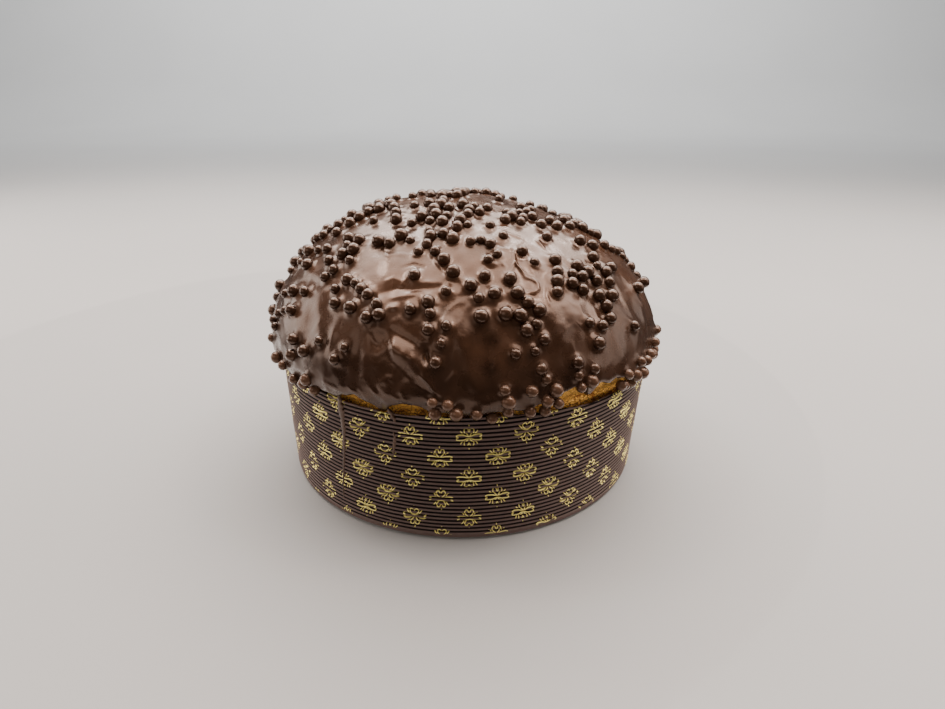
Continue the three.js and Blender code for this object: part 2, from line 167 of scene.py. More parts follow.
# Wrinkles that wind: the width of each, then the azimuth, polar angle and height along it.
WRINKLES = (
    (2.8, ((-28.9, 76.1, -0.2), (-26.9, 78.8, -0.35), (-26.8, 82.0, -0.35),
           (-26.6, 86.4, -0.3), (-25.9, 90.5, -0.2))),
    (2.4, ((-24.9, 81.7, 0.1), (-24.6, 84.0, 0.3), (-24.6, 88.1, 0.3), (-25.4, 89.9, 0.1))),
    (2.2, ((-25.1, 75.7, 0.3), (-22.3, 75.1, 0.7), (-19.7, 75.7, 0.4))),
    (1.3, ((-24.2, 77.2, -0.3), (-22.7, 79.0, -0.6), (-20.5, 79.5, -0.4))),
    (1.8, ((-18.4, 75.5, -0.6), (-16.4, 76.3, -0.9), (-12.6, 77.8, -0.8))),
    (2.0, ((-18.4, 73.5, 0.4), (-17.2, 72.5, 0.5), (-15.5, 73.8, 0.3))),
    (2.0, ((-23.5, 81.7, 0.3), (-21.3, 81.2, 0.6), (-20.1, 80.2, 0.4))),
    (1.8, ((-10.5, 77.4, 0.8), (-8.7, 77.2, 0.6))),
    (1.5, ((-20.9, 69.5, 0.5), (-19.3, 69.6, 0.6))),
    (0.9, ((-9.6, 84.9, 0.4), (-8.0, 86.3, 1.1), (-6.6, 88.5, 1.1), (-5.3, 89.4, 0.5))),
    (0.9, ((-3.9, 86.7, 0.2), (-2.9, 85.4, 0.6), (-2.0, 84.4, 0.6))),
    (1.2, ((-36.6, 91.2, 0.2), (-33.8, 92.0, 0.5), (-31.0, 92.6, 0.4))),
    (1.2, ((-29.3, 89.9, 0.2), (-27.5, 91.3, 0.6), (-26.0, 92.1, 0.3))),
    (1.2, ((-22.6, 89.8, 0.3), (-20.9, 91.1, 0.5), (-19.4, 92.6, 0.3))),
    (1.2, ((-17.9, 91.1, 0.2), (-15.4, 91.4, 0.5), (-12.5, 91.4, 0.3))),
    (1.2, ((-19.4, 87.4, 0.3), (-18.6, 87.6, 0.4))),
    (1.2, ((-18.2, 86.2, 0.3), (-16.7, 86.9, 0.3))),
    (1.0, ((-17.0, 78.8, 0.35), (-16.8, 79.0, 0.35))),
    (1.0, ((-14.6, 80.0, 0.35), (-14.3, 80.2, 0.35))),
    (1.0, ((-12.4, 80.9, 0.35), (-12.1, 81.1, 0.35))),
    (0.8, ((24.3, 48.9, 0.4), (21.1, 51.9, 0.9), (19.5, 55.8, 1.0), (16.3, 59.1, 0.6))),
    (0.8, ((19.5, 55.8, 0.9), (20.6, 57.6, 0.9), (21.3, 60.2, 0.5))),
    (0.9, ((21.1, 60.8, 0.4), (23.2, 61.7, 0.7), (24.6, 63.3, 1.0), (23.8, 65.2, 1.0),
           (21.5, 65.9, 0.8), (18.4, 65.6, 0.6))),
    (0.9, ((31.1, 62.8, 0.3), (27.0, 65.3, 0.5), (25.7, 67.4, 0.5), (25.3, 69.8, 0.3))),
    (0.8, ((42.3, 46.2, 0.4), (37.7, 47.8, 0.9), (38.1, 49.7, 0.9), (38.3, 51.4, 0.4))),
    (0.8, ((16.4, 49.3, 0.4), (19.9, 50.3, 0.8), (25.4, 48.3, 0.8), (31.1, 46.0, 0.4))),
    (3.0, ((-1.0, 76.6, 0.5), (0.6, 80.3, 0.6), (2.4, 87.0, 0.4))),
    (3.6, ((4.2, 76.2, -0.7), (5.6, 81.6, -0.9), (6.0, 89.0, -0.6))),
    (0.9, ((14.8, 55.4, 0.3), (15.7, 56.9, 0.4), (14.0, 59.6, 0.3))),
    (1.1, ((38.6, 54.8, 0.3), (35.8, 56.0, 0.4), (37.0, 58.2, 0.3))),
    (0.9, ((-37.7, 63.1, -0.4), (-34.2, 63.8, -0.8), (-30.5, 66.0, -0.9),
           (-26.2, 67.7, -0.9), (-23.7, 69.5, -0.5))),
    (1.5, ((-24.7, 66.4, -0.3), (-21.1, 64.5, -0.8), (-15.7, 64.4, -0.9),
           (-11.0, 63.7, -0.7), (-7.0, 63.1, -0.3))),
    (1.2, ((-22.0, 67.6, 0.3), (-19.0, 66.7, 0.6), (-14.9, 65.6, 0.4))),
    (1.0, ((-25.1, 62.9, 0.3), (-23.1, 61.4, 0.5), (-19.5, 62.1, 0.4), (-19.8, 63.5, 0.3))),
    (1.0, ((-22.1, 57.7, -0.3), (-18.4, 56.0, -0.6), (-14.2, 56.7, -0.4))),
    (0.9, ((-30.1, 54.0, 0.3), (-25.0, 52.8, 0.5), (-19.3, 52.8, 0.3))),
    (1.0, ((-12.5, 52.4, 0.3), (-8.0, 56.7, 0.5), (-4.1, 58.9, 0.4))),
    (1.0, ((-16.3, 62.4, 0.3), (-11.4, 61.7, 0.5), (-7.6, 61.5, 0.3))),
    (1.1, ((-18.8, 69.7, 0.4), (-21.0, 70.3, 0.4))),
    (0.9, ((-35.4, 52.5, 0.3), (-29.2, 54.5, 0.6))),
    (1.4, ((-9.1, 80.0, -1.6), (-8.7, 81.8, -1.6))),
    (0.6, ((-19.1, 77.9, -0.8), (-19.0, 78.0, -0.8))),
)

# Where one wave of chocolate set on the last: the crest of its front, with its height all
# along, and the foot below it.
LAP_CREST = (
    (-19.5, 80.2, 0.0), (-18.3, 79.5, 0.9), (-16.8, 79.3, 2.8), (-14.6, 80.4, 3.7),
    (-11.9, 81.4, 3.7), (-10.4, 82.6, 3.3), (-9.2, 84.3, 2.7), (-8.3, 86.0, 2.0),
    (-6.8, 88.2, 1.0), (-5.5, 89.6, 0.0),
)
LAP_FOOT = (
    (-19.4, 81.5, 0), (-17.3, 82.5, 0), (-15.5, 83.7, 0), (-13.7, 85.6, 0),
    (-11.7, 87.2, 0), (-9.4, 88.3, 0), (-6.5, 89.6, 0),
)

# How round that crest is, and how far the wave reaches behind and before it.
LAP_ROUND = 1.6
LAP_BACK = 3.6
LAP_FRONT = 9.0

# A hole where the crumb looks out, and patches painted darker as painted shade: azimuth, polar
# angle and radius.
CRUMB_HOLE = (-8.9, 81.0, 1.1)
PAINTED_SHADE_PATCHES = ((-4.9, 69.7, 4.5), (7.4, 77.0, 6.0), (6.2, 83.5, 6.0))

# Where the coating ran lower: azimuth, half width and how much further down. Where that is
# negative it stopped short.
TONGUES = (
    (-47, 8.0, 0.8),
    (-35, 2.6, 1.6),
    (-20.5, 2.0, 3.2),
    (-2, 9.0, 0.9),
    (33.0, 1.5, 5.2),
    (29, 6.0, -1.6),
    (-27, 4.0, -1.0),
    (-12, 4.0, -0.8),
    (112, 4.0, 2.2),
    (164, 3.0, 2.6),
    (-128, 5.0, 2.0),
)

# Chocolate that ran down the paper: azimuth, height and width along each run.
RUNS = (
    ((-34.5, 72.0, 3.4), (-34.2, 64.0, 4.2), (-34.1, 53.0, 2.8), (-34.8, 41.0, 1.9),
     (-35.9, 28.0, 1.5), (-37.4, 9.0, 0.9)),
    ((-19.2, 71.5, 1.6), (-18.6, 69.5, 3.4), (-17.9, 67.0, 2.4), (-17.6, 64.5, 1.0)),
    ((-18.2, 60.0, 0.9), (-17.9, 56.0, 1.5), (-18.4, 50.0, 1.7), (-18.8, 45.0, 0.9)),
    ((25.0, 4.2, 1.6), (25.2, 5.4, 2.6), (25.0, 6.6, 1.8)),
)


# Draws from 0 to 1, the same on every run.
def seeded(seed):
    state = seed
    while True:
        state = state * 48271 % 2147483647
        yield state / 2147483647


def direction(polar, azimuth):
    across = np.sin(polar)
    return np.stack(
        [across * np.sin(azimuth), -across * np.cos(azimuth), np.cos(polar)], axis=-1
    )


def make_waves():
    draw = seeded(WAVE_SEED)
    waves = []
    for _ in range(WAVE_COUNT):
        along = direction(math.acos(2 * next(draw) - 1), 2 * math.pi * next(draw))
        waves.append((along, 7 + 9 * next(draw), 2 * math.pi * next(draw)))
    return waves


WAVES = make_waves()


# From 1 at the middle of a place on the circumference down to 0 away from it.
def nearness(azimuth, place):
    off = np.degrees(azimuth) - place["azimuth"]
    return np.exp(-((off / place["half"]) ** 2))


def total_near(azimuth, places, amount):
    return sum(place[amount] * nearness(azimuth, place) for place in places)


# The outside of the coating before its folds: the crown's form and its slow swells.
def crown_radius(polar, azimuth):
    up = np.cos(polar)
    under = UNDER_DEPTH + total_near(azimuth, SAGS, "deeper")
    upright = np.abs(up) / np.where(up > 0, CROWN_HEIGHT, under)
    total = (np.sin(polar) / BULGE_RADIUS) ** CROWN_POWER + upright**CROWN_POWER
    shoulder = np.where(up > 0, -FULL_SHOULDER * np.sin(2 * polar) * np.sin(azimuth), 0)
    way = direction(polar, azimuth)
    swell = sum(
        WAVE_HEIGHT * np.sin(per_radian * (way @ along) + phase)
        for along, per_radian, phase in WAVES
    )
    lean = FLARE["crown"] * nearness(azimuth, FLARE) * np.sin(polar) ** 6
    return total ** (-1 / CROWN_POWER) * (1 + shoulder) + lean + swell


# The polar angle at which the coating ends, as the solids have it.
def edge_polar(azimuth):
    lift = LIFTED["lift"] * nearness(azimuth, LIFTED)
    sag = total_near(azimuth, SAGS, "lower")
    ragged = (
        0.7 * np.sin(5 * azimuth + 1.1)
        + 0.5 * np.sin(11 * azimuth + 0.4)
        + 0.4 * np.sin(17 * azimuth + 2.3)
    )
    return np.radians(EDGE_POLAR - lift + sag + ragged)


# The same edge with its tongues and nibbles.
def torn_edge(azimuth):
    degrees = np.degrees(azimuth)
    edge = edge_polar(azimuth)
    for at, half, further in TONGUES:
        off = (degrees - at + 180) % 360 - 180
        edge = edge + np.radians(further) * np.exp(-((off / half) ** 2))
    nibble = 0.35 * np.sin(29 * azimuth + 0.7) + 0.3 * np.sin(47 * azimuth + 2.0)
    nibble += 0.22 * np.sin(83 * azimuth + 1.1)
    return edge + np.radians(nibble)


def bead(polar, edge):
    above = (edge - polar) / math.radians(BEAD_WIDTH)
    return EDGE_BEAD * np.exp(-above * above)


# How far the wall stands out of round, at a share of its height.
def wall_wave(azimuth, share):
    wave = 0.6 * np.sin(2 * azimuth + 0.8) + 0.4 * np.sin(5 * azimuth + 2.1)
    flare = FLARE["wall"] * nearness(azimuth, FLARE) * share**1.5
    return OUT_OF_ROUND * wave * share + flare


# The height at which the paper was cut and pressed, all round.
def rim_height(azimuth):
    wave = 0.6 * np.sin(3 * azimuth + 0.5) + 0.4 * np.sin(8 * azimuth + 1.7)
    return MOULD_HEIGHT + RIM_WAVE * wave - total_near(azimuth, RIM_DIPS, "depth")


# Where the pearls came to rest: the strings and single ones above, then handfuls thrown over
# the far side and the top, evenly for each patch of the crown.
def drop_pearls():
    draw = seeded(PEARL_SEED)
    centres = np.zeros((PEARL_COUNT + 20, 3))
    radii = np.zeros(PEARL_COUNT + 20)
    count = 0

    def drop(polar, azimuth):
        nonlocal count
        radius = PEARL_LEAST + (PEARL_MOST - PEARL_LEAST) * next(draw)
        for _ in range(PEARL_NUDGES):
            edge = float(edge_polar(azimuth))
            if polar > edge + math.radians(PEARL_OVERHANG):
                return
            lift = float(bead(polar, edge)) + radius * PEARL_PROUD
            reach = float(crown_radius(polar, azimuth)) + lift
            centre = direction(polar, azimuth) * reach + (0, 0, BULGE_HEIGHT)
            away = centre - centres[:count]
            far = np.linalg.norm(away, axis=1)
            gaps = far - PEARL_TOUCH * (radii[:count] + radius)
            if count == 0 or gaps.min() >= 0:
                centres[count] = centre
                radii[count] = radius
                count += 1
                return
            other = gaps.argmin()
            centre += away[other] / far[other] * (0.1 - gaps[other])
            x, y, z = centre - (0, 0, BULGE_HEIGHT)
            polar = math.acos(z / math.sqrt(x * x + y * y + z * z))
            azimuth = math.atan2(x, -y)

    def jitter():
        return PEARL_JITTER * (2 * next(draw) - 1)

    for azimuth, polar, last_azimuth, last_polar, number in STRINGS:
        for place in range(number):
            share = place / (number - 1)
            at = azimuth + (last_azimuth - azimuth) * share + jitter()
            down = polar + (last_polar - polar) * share + jitter()
            drop(math.radians(down), math.radians(at))
    for azimuth, polar in SINGLES:
        drop(math.radians(polar + jitter()), math.radians(azimuth + jitter()))
    # The rest fall down to just below the widest level, and none where the viewer sees the
    # side, which the strings and single ones have covered.
    while count < PEARL_COUNT:
        polar = math.acos(1 - 1.08 * next(draw))
        azimuth = math.pi * (2 * next(draw) - 1)
        heading = 2 * math.pi * next(draw)
        number = 1 + math.floor(5 * next(draw) ** 2)
        evenly = float(crown_radius(polar, azimuth) / BULGE_RADIUS) ** 2
        in_view = abs(azimuth) < math.radians(92) and polar > math.radians(36)
        if in_view or next(draw) > evenly:
            continue
        for _ in range(number):
            drop(polar, azimuth)
            heading += 1.8 * (next(draw) - 0.5)
            step = 2.2 * PEARL_MOST / BULGE_RADIUS
            azimuth += step * math.sin(heading) / max(math.sin(polar), 0.1)
            polar += step * math.cos(heading)
    return centres[:count], radii[:count]


# Meshes

def coords(mesh):
    flat = np.empty(len(mesh.vertices) * 3)
    mesh.vertices.foreach_get("co", flat)
    return flat.reshape(-1, 3)


def set_coords(mesh, at):
    mesh.vertices.foreach_set("co", np.asarray(at, dtype=float).ravel())
    mesh.update()


# A sheet of a given number of rows, wrapped once round +Z. `place` turns each vertex's row and
# azimuth into a point, `unrolled` into a place on the flat sheet for its UV map.
def wrapped(name, rows, around, place, unrolled=None):
    around = round(around * DETAIL)
    bm = bmesh.new()
    bmesh.ops.create_grid(bm, x_segments=around, y_segments=rows - 1, size=1)
    mesh = bpy.data.meshes.new(name)
    bm.to_mesh(mesh)
    at = coords(mesh)
    row = np.rint((at[:, 1] + 1) / 2 * (rows - 1)).astype(int)
    azimuth = at[:, 0] * math.pi
    if unrolled is not None:
        layer = mesh.uv_layers.new(name="unrolled")
        corners = np.empty(len(mesh.loops), dtype=int)
        mesh.loops.foreach_get("vertex_index", corners)
        flat = unrolled(row, azimuth)
        layer.data.foreach_set("uv", flat[corners].ravel())
    set_coords(mesh, place(row, azimuth) * MM)
    bm.clear()
    bm.from_mesh(mesh)
    bmesh.ops.remove_doubles(bm, verts=bm.verts, dist=2e-6)
    bmesh.ops.recalc_face_normals(bm, faces=bm.faces)
    bm.to_mesh(mesh)
    bm.free()
    return mesh


def add_piece(name, mesh, material, node, slot):
    piece = bpy.data.objects.new(name, mesh)
    bpy.context.scene.collection.objects.link(piece)
    mesh.materials.append(material)
    mesh.shade_smooth()
    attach(piece, "root")
    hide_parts(node)


def fractal(points, scale, octaves, seed):
    shift = Vector((seed * 17.3, seed * 5.1, seed * 9.7))
    return np.array(
        [noise.fractal(Vector(p) / scale + shift, 0.9, 2.0, octaves) for p in points]
    )


def ridges(points, scale, seed):
    shift = Vector((seed * 13.1, seed * 7.7, seed * 3.9))
    return np.array(
        [1 - abs(noise.noise(Vector(p) / scale + shift)) * 2 for p in points]
    )


# How far the folds lift the coating at each point of its outside.
def fold_relief(outside):
    relief = np.zeros(len(outside))
    for at, down, heading, long, wide, high in FOLDS:
        at, down, heading = np.radians((at, down, heading))
        mid = direction(down, at)
        right = np.array([math.cos(at), math.sin(at), 0])
        downhill = np.cross(mid, right)
        way = outside - mid * float(crown_radius(down, at))
        east = way @ right
        south = way @ downhill
        ahead = east * math.sin(heading) + south * math.cos(heading)
        aside = east * math.cos(heading) - south * math.sin(heading)
        aside = aside - FOLD_BEND * ahead * ahead
        relief += high * np.exp(-((aside / wide) ** 2) - (ahead / (long / 2)) ** 4)
    return relief


# The distance in millimetres from each place to a line that winds over the crown's side, the
# third value of the line at its nearest point, and on which side of it the place is.
def to_line(azimuth, polar, line):
    at = np.stack([azimuth * np.sin(polar), polar], axis=-1) * BULGE_RADIUS
    knots = np.array(line, dtype=float)
    turn, down = np.radians(knots[:, 0]), np.radians(knots[:, 1])
    places = np.stack([turn * np.sin(down), down], axis=-1) * BULGE_RADIUS
    nearest = np.full(len(at), 1e9)
    value = np.zeros(len(at))
    side = np.zeros(len(at))
    for first, last, low, high in zip(places, places[1:], knots[:, 2], knots[1:, 2]):
        step = last - first
        way = at - first
        share = np.clip(way @ step / (step @ step), 0, 1)
        far = np.linalg.norm(way - share[:, None] * step, axis=1)
        closer = far < nearest
        value = np.where(closer, low + share * (high - low), value)
        side = np.where(closer, step[0] * way[:, 1] - step[1] * way[:, 0], side)
        nearest = np.minimum(far, nearest)
    return nearest, value, side


def wrinkle_relief(azimuth, polar):
    relief = np.zeros(len(azimuth))
    for wide, line in WRINKLES:
        far, height, _ = to_line(azimuth, polar, line)
        relief += height * np.exp(-((far / wide) ** 2))
    return relief


def lap_relief(azimuth, polar):
    far, height, side = to_line(azimuth, polar, LAP_CREST)
    crest = np.hypot(far, LAP_ROUND)
    foot = to_line(azimuth, polar, LAP_FOOT)[0]
    away = np.where(side < 0, (far / LAP_BACK) ** 2, (far / LAP_FRONT) ** 4)
    return height * foot / (foot + crest) * np.exp(-away)


# The coating: a crown with folds, runs and a raised foot round each pearl, a lip that turns
# under at the torn edge, and its inside.
def coating_mesh(pearls):
    # Each row has its share of the way down to the edge, and its depth in the chocolate. The
    # rows lie closer together near the edge, and the columns closer on the viewer's side.
    rows = round(150 * DETAIL)
    lip = ((1.0, 0.12), (1.003, 0.4), (1.002, 0.7), (0.997, 1.0))
    inner = ((0.97, 1.0), (0.75, 1.0), (0.4, 1.0), (0.0, 1.0))
    down = np.arange(rows + 1) / rows
    down = down + 0.12 * np.sin(math.pi * down)
    outer = [(share * 0.997, 0.0) for share in down]
    share, depth = np.array([*outer, *lip, *inner]).T

    def place(row, turn):
        azimuth = turn - 0.45 * np.sin(turn)
        edge = torn_edge(azimuth)
        polar = share[row] * edge
        radius = crown_radius(polar, azimuth)
        way = direction(polar, azimuth)
        outside = way * radius[:, None]
        steep = np.clip((np.degrees(polar) - STEEP_FROM) / STEEP_OVER, 0, 1)
        level = azimuth * BULGE_RADIUS * np.maximum(np.sin(polar), 0.2)
        runs = fractal(np.stack([level, polar * 38, 0 * polar], -1), 9.0, 3, 1)
        lumps = fractal(outside, 15.0, 2, 2)
        creased = np.clip(fractal(outside, 40.0, 2, 4) * 1.6 + 0.1, 0, 1)
        crease = np.clip(ridges(outside + 4 * lumps[:, None], 11.0, 3), 0, 1) ** 3
        dimples = fractal(outside, 8.0, 2, 5)
        relief = RUN_RELIEF * runs * steep + (LUMPS[0] + LUMPS[1] * steep) * lumps
        relief += (DIMPLES[0] + DIMPLES[1] * steep) * dimples
        relief += CREASES * creased * crease
        relief += fold_relief(outside)
        relief += wrinkle_relief(azimuth, polar) + lap_relief(azimuth, polar)
        relief *= np.clip((edge - polar) / math.radians(2.0) + 0.35, 0, 1)
        swollen = bead(polar, edge) + relief
        radius = radius + swollen - depth[row] * (COATING + swollen)
        at = way * radius[:, None] + (0, 0, BULGE_HEIGHT)
        foot = pearl_feet(at, pearls)
        foot[depth[row] > 0.05] = 0
        return at + way * foot[:, None]

    return wrapped("chocolate_coating", len(share), 600, place)


# How far the chocolate climbs up the pearls at each of these points.
def pearl_feet(at, pearls):
    tree = kdtree.KDTree(len(at))
    for index, point in enumerate(at):
        tree.insert(point, index)
    tree.balance()
    foot = np.zeros(len(at))
    for centre, size in zip(*pearls):
        out = centre - (0, 0, BULGE_HEIGHT)
        out = out / np.linalg.norm(out)
        base = centre - out * size * PEARL_PROUD
        ring = size * math.sqrt(1 - PEARL_PROUD**2)
        near = [index for _, index, _ in tree.find_range(base, ring + FOOT_REACH)]
        off = at[near] - base
        beside = np.linalg.norm(off - np.outer(off @ out, out), axis=1)
        away = np.maximum(beside - ring, 0) / FOOT_WIDTH
        climb = PEARL_FOOT * np.exp(-(away**1.4))
        foot[near] = np.maximum(foot[near], climb)
    return foot


# One ball after another in a single mesh, each a little out of true.
def pearl_mesh(pearls):
    bm = bmesh.new()
    draw = seeded(PEARL_SEED + 1)
    for centre, size in zip(*pearls):
        squeeze = Matrix.Diagonal(
            [size * MM * (0.95 + 0.12 * next(draw)) for _ in range(3)] + [1]
        )
        axis = Vector([next(draw) - 0.5 for _ in range(3)]).normalized()
        spin = Matrix.Rotation(2 * math.pi * next(draw), 4, axis)
        place = Matrix.Translation(Vector(centre) * MM)
        bmesh.ops.create_icosphere(
            bm, subdivisions=2, radius=1, matrix=place @ spin @ squeeze
        )
    mesh = bpy.data.meshes.new("chocolate_pearls")
    bm.to_mesh(mesh)
    bm.free()
    each = len(mesh.vertices) // len(pearls[1])
    at = coords(mesh).reshape(-1, each, 3)
    middle = at.mean(axis=1, keepdims=True)
    lump = fractal((at / MM).reshape(-1, 3), 5.0, 1, 5).reshape(-1, each, 1)
    set_coords(mesh, middle + (at - middle) * (1 + 0.06 * lump))
    return mesh


# The loaf under the coating. Only the band between coating and paper shows, so it is finest.
def loaf_mesh():
    clear = 0.3
    floor = PAPER + clear
    side = MOULD_RADIUS - PAPER - clear
    crown = np.radians([*range(0, 84, 7), *np.arange(84, 98.6, 0.3)])
    walls = np.array(
        [(side - 1.2, 60), (side - 1.4, 30), (side - 2.6, floor + 2), (side - 5, floor),
         (0, floor)]
    )

    def place(row, azimuth):
        on_crown = row < len(crown)
        polar = crown[np.minimum(row, len(crown) - 1)]
        radius = crown_radius(polar, azimuth) - COATING - clear
        way = direction(polar, azimuth)
        smooth = way * radius[:, None]
        showing = np.clip((np.degrees(polar) - 86) / 4, 0, 1)
        crumb = fractal(smooth, 5.0, 3, 6)
        grain = fractal(smooth, 1.8, 2, 7)
        radius += showing * (0.5 * crumb + 0.35 * grain - 0.3)
        radius -= showing * np.clip((np.degrees(polar) - 95) / 4, 0, 1) * 0.8
        above = way * radius[:, None] + (0, 0, BULGE_HEIGHT)
        out, up = walls[np.maximum(row - len(crown), 0)].T
        below = np.stack([out * np.sin(azimuth), -out * np.cos(azimuth), up], -1)
        return np.where(on_crown[:, None], above, below)

    return wrapped("loaf", len(crown) + len(walls), 420, place)


# How far the wall bulges out of round at a height, with its slow dents.
def wall_bulge(azimuth, height):
    around = np.stack([40 * np.sin(azimuth), -40 * np.cos(azimuth), height], axis=-1)
    dents = fractal(around, 16.0, 2, 8)
    share = height / MOULD_HEIGHT
    return wall_wave(azimuth, share) + DENTS * dents * share


# The fluted paper, from the middle of its base up the outside and down the inside. Its UV map
# has the turn round the mould in motif columns, and the height on the flat paper.
def mould_mesh():
    # One flute: how far along its pitch, and how deep of its depth.
    pitch = MOULD_HEIGHT / FLUTES
    rib = ((0.0, 1.0), (0.1, 0.8), (0.2, 0.36), (0.3, 0.08), (0.42, 0.0), (0.58, 0.0),
           (0.7, 0.08), (0.8, 0.36), (0.9, 0.8))

    def wall(height, inwards):
        return MOULD_RADIUS - MOULD_TAPER * (1 - height / MOULD_HEIGHT) - inwards

    foot = wall(0, 0)
    profile = [(0, 0), (foot * 0.5, 0), (foot - BASE_FOLD, 0)]
    profile += [(foot - BASE_FOLD * 0.5, BASE_FOLD * 0.12)]
    profile += [(foot - BASE_FOLD * 0.15, BASE_FOLD * 0.5)]
    for flute in range(1, FLUTES):
        for phase, groove in rib:
            height = (flute + phase) * pitch
            profile.append((wall(height, groove * FLUTE_DEPTH), height))
    profile.append((wall(MOULD_HEIGHT, RIM_EDGE), MOULD_HEIGHT))
    last_outside = len(profile) - 1
    profile += [(wall(z, PAPER), z) for z in (MOULD_HEIGHT, 66, 60, 30, 3)]
    profile += [(foot - BASE_FOLD - PAPER, PAPER), (0, PAPER)]
    out, up = np.array(profile).T

    # What stands above the cut rim is folded down onto it.
    def cut(row, azimuth):
        around = np.stack([np.sin(azimuth), -np.cos(azimuth), 0 * azimuth], axis=-1)
        rim = rim_height(azimuth) + RIM_NICKS * fractal(60 * around, 3.5, 4, 9)
        above = (up[row] > rim) | (up[row] == MOULD_HEIGHT)
        edge = wall(rim, np.where(row > last_outside, PAPER, RIM_EDGE))
        return np.where(above, edge, out[row]), np.where(above, rim, up[row])

    def place(row, azimuth):
        radius, height = cut(row, azimuth)
        share = height / MOULD_HEIGHT
        on_wall = np.clip((radius - 90) / 10, 0, 1)
        radius = radius + on_wall * wall_bulge(azimuth, height)
        around = np.stack(
            [40 * np.sin(azimuth), -40 * np.cos(azimuth), height], axis=-1
        )
        wander = FLUTE_WANDER * fractal(around, 12.0, 2, 10)
        rise = wander * on_wall * np.clip(share * 8, 0, 1)
        return np.stack(
            [radius * np.sin(azimuth), -radius * np.cos(azimuth), height + rise], -1
        )

    def unrolled(row, azimuth):
        height = cut(row, azimuth)[1]
        return np.stack([azimuth / (2 * math.pi) * MOTIFS_ROUND, height], axis=-1)

    return wrapped("paper_mould", len(profile), 260, place, unrolled)


# A run of chocolate down the outside of the paper, with a round front and pointed ends.
def run_mesh(line):
    rows = 60
    azimuth, height, width = np.array(line, dtype=float).T
    share = np.linspace(0, 1, rows) * (len(line) - 1)
    knots = np.arange(len(line))
    azimuth = np.radians(np.interp(share, knots, azimuth))
    height = np.interp(share, knots, height)
    width = np.interp(share, knots, width)
    width *= 1 + 0.25 * np.sin(1.3 * height) * np.sin(0.7 * height + 1)
    ends = np.clip(np.sin(math.pi * np.linspace(0, 1, rows)) * 6, 0, 1)

    def place(row, turn):
        half = width[row] / 2 * ends[row] ** 0.5
        at = azimuth[row] + half * np.sin(turn) / MOULD_RADIUS
        up = height[row]
        radius = MOULD_RADIUS - MOULD_TAPER * (1 - up / MOULD_HEIGHT)
        radius = radius + wall_bulge(at, up) - 0.25
        radius += (0.3 + 0.16 * half) * np.cos(turn) * ends[row]
        return np.stack([radius * np.sin(at), -radius * np.cos(at), up], axis=-1)

    return wrapped("run", rows, 12, place)


# The materials

CHOCOLATE_SHEEN = (1.0, 0.66, 0.5, 1.0)


class Graph:
    def __init__(self, tree):
        self.tree = tree

    def node(self, kind, values=None, **settings):
        made = self.tree.nodes.new(kind)
        for key, value in settings.items():
            setattr(made, key, value)
        for key, value in (values or {}).items():
            self.put(made, key, value)
        return made

    def put(self, node, key, value):
        if isinstance(value, bpy.types.NodeSocket):
            self.tree.links.new(value, node.inputs[key])
        else:
            node.inputs[key].default_value = value

    def math(self, operation, *values, clamp=False):
        made = self.node("ShaderNodeMath", operation=operation, use_clamp=clamp)
        for index, value in enumerate(values):
            self.put(made, index, value)
        return made.outputs[0]

    def clamped(self, value):
        return self.math("ADD", value, 0.0, clamp=True)

    def between(self, value, low, high, to_low=0.0, to_high=1.0, kind="SMOOTHSTEP"):
        made = self.node(
            "ShaderNodeMapRange",
            {"From Min": low, "From Max": high, "To Min": to_low, "To Max": to_high},
            interpolation_type=kind,
        )
        self.put(made, "Value", value)
        return made.outputs["Result"]

    def mix(self, share, first, second):
        made = self.node("ShaderNodeMix", data_type="RGBA")
        for key, value in ((0, share), (6, first), (7, second)):
            self.put(made, key, value)
        return made.outputs[2]

    def noise(self, where, scale, detail, roughness=0.55):
        made = self.node(
            "ShaderNodeTexNoise",
            {"Vector": where, "Scale": scale, "Detail": detail, "Roughness": roughness},
        )
        return made.outputs["Fac"]

    def bump(self, height, distance, strength):
        made = self.node(
            "ShaderNodeBump",
            {"Height": height, "Distance": distance, "Strength": strength},
        )
        return made.outputs["Normal"]


# A material with the shader's own values by name, each space written as _.
def new_material(name, **values):
    material = bpy.data.materials.new(name)
    material.use_nodes = True
    graph = Graph(material.node_tree)
    shader = material.node_tree.nodes["Principled BSDF"]
    for key, value in values.items():
        shader.inputs[key.replace("_", " ")].default_value = value
    where = graph.node("ShaderNodeTexCoord").outputs["Object"]
    return material, graph, shader, where


# A round mask about a place on the coating, from 1 inside to 0 outside.
def spot(graph, where, place, soft):
    azimuth, polar, radius = place
    turn, down = math.radians(azimuth), math.radians(polar)
    centre = direction(down, turn) * float(crown_radius(down, turn))
    centre = Vector(centre + (0, 0, BULGE_HEIGHT)) * MM
    far = graph.node(
        "ShaderNodeVectorMath", {0: where, 1: centre}, operation="DISTANCE"
    ).outputs["Value"]
    ragged = graph.math("MULTIPLY", graph.noise(where, 500.0, 2.0), radius * MM * 0.6)
    far = graph.math("ADD", far, ragged)
    return graph.between(far, radius * MM * (1.3 - soft), radius * MM * 1.3, 1.0, 0.0)


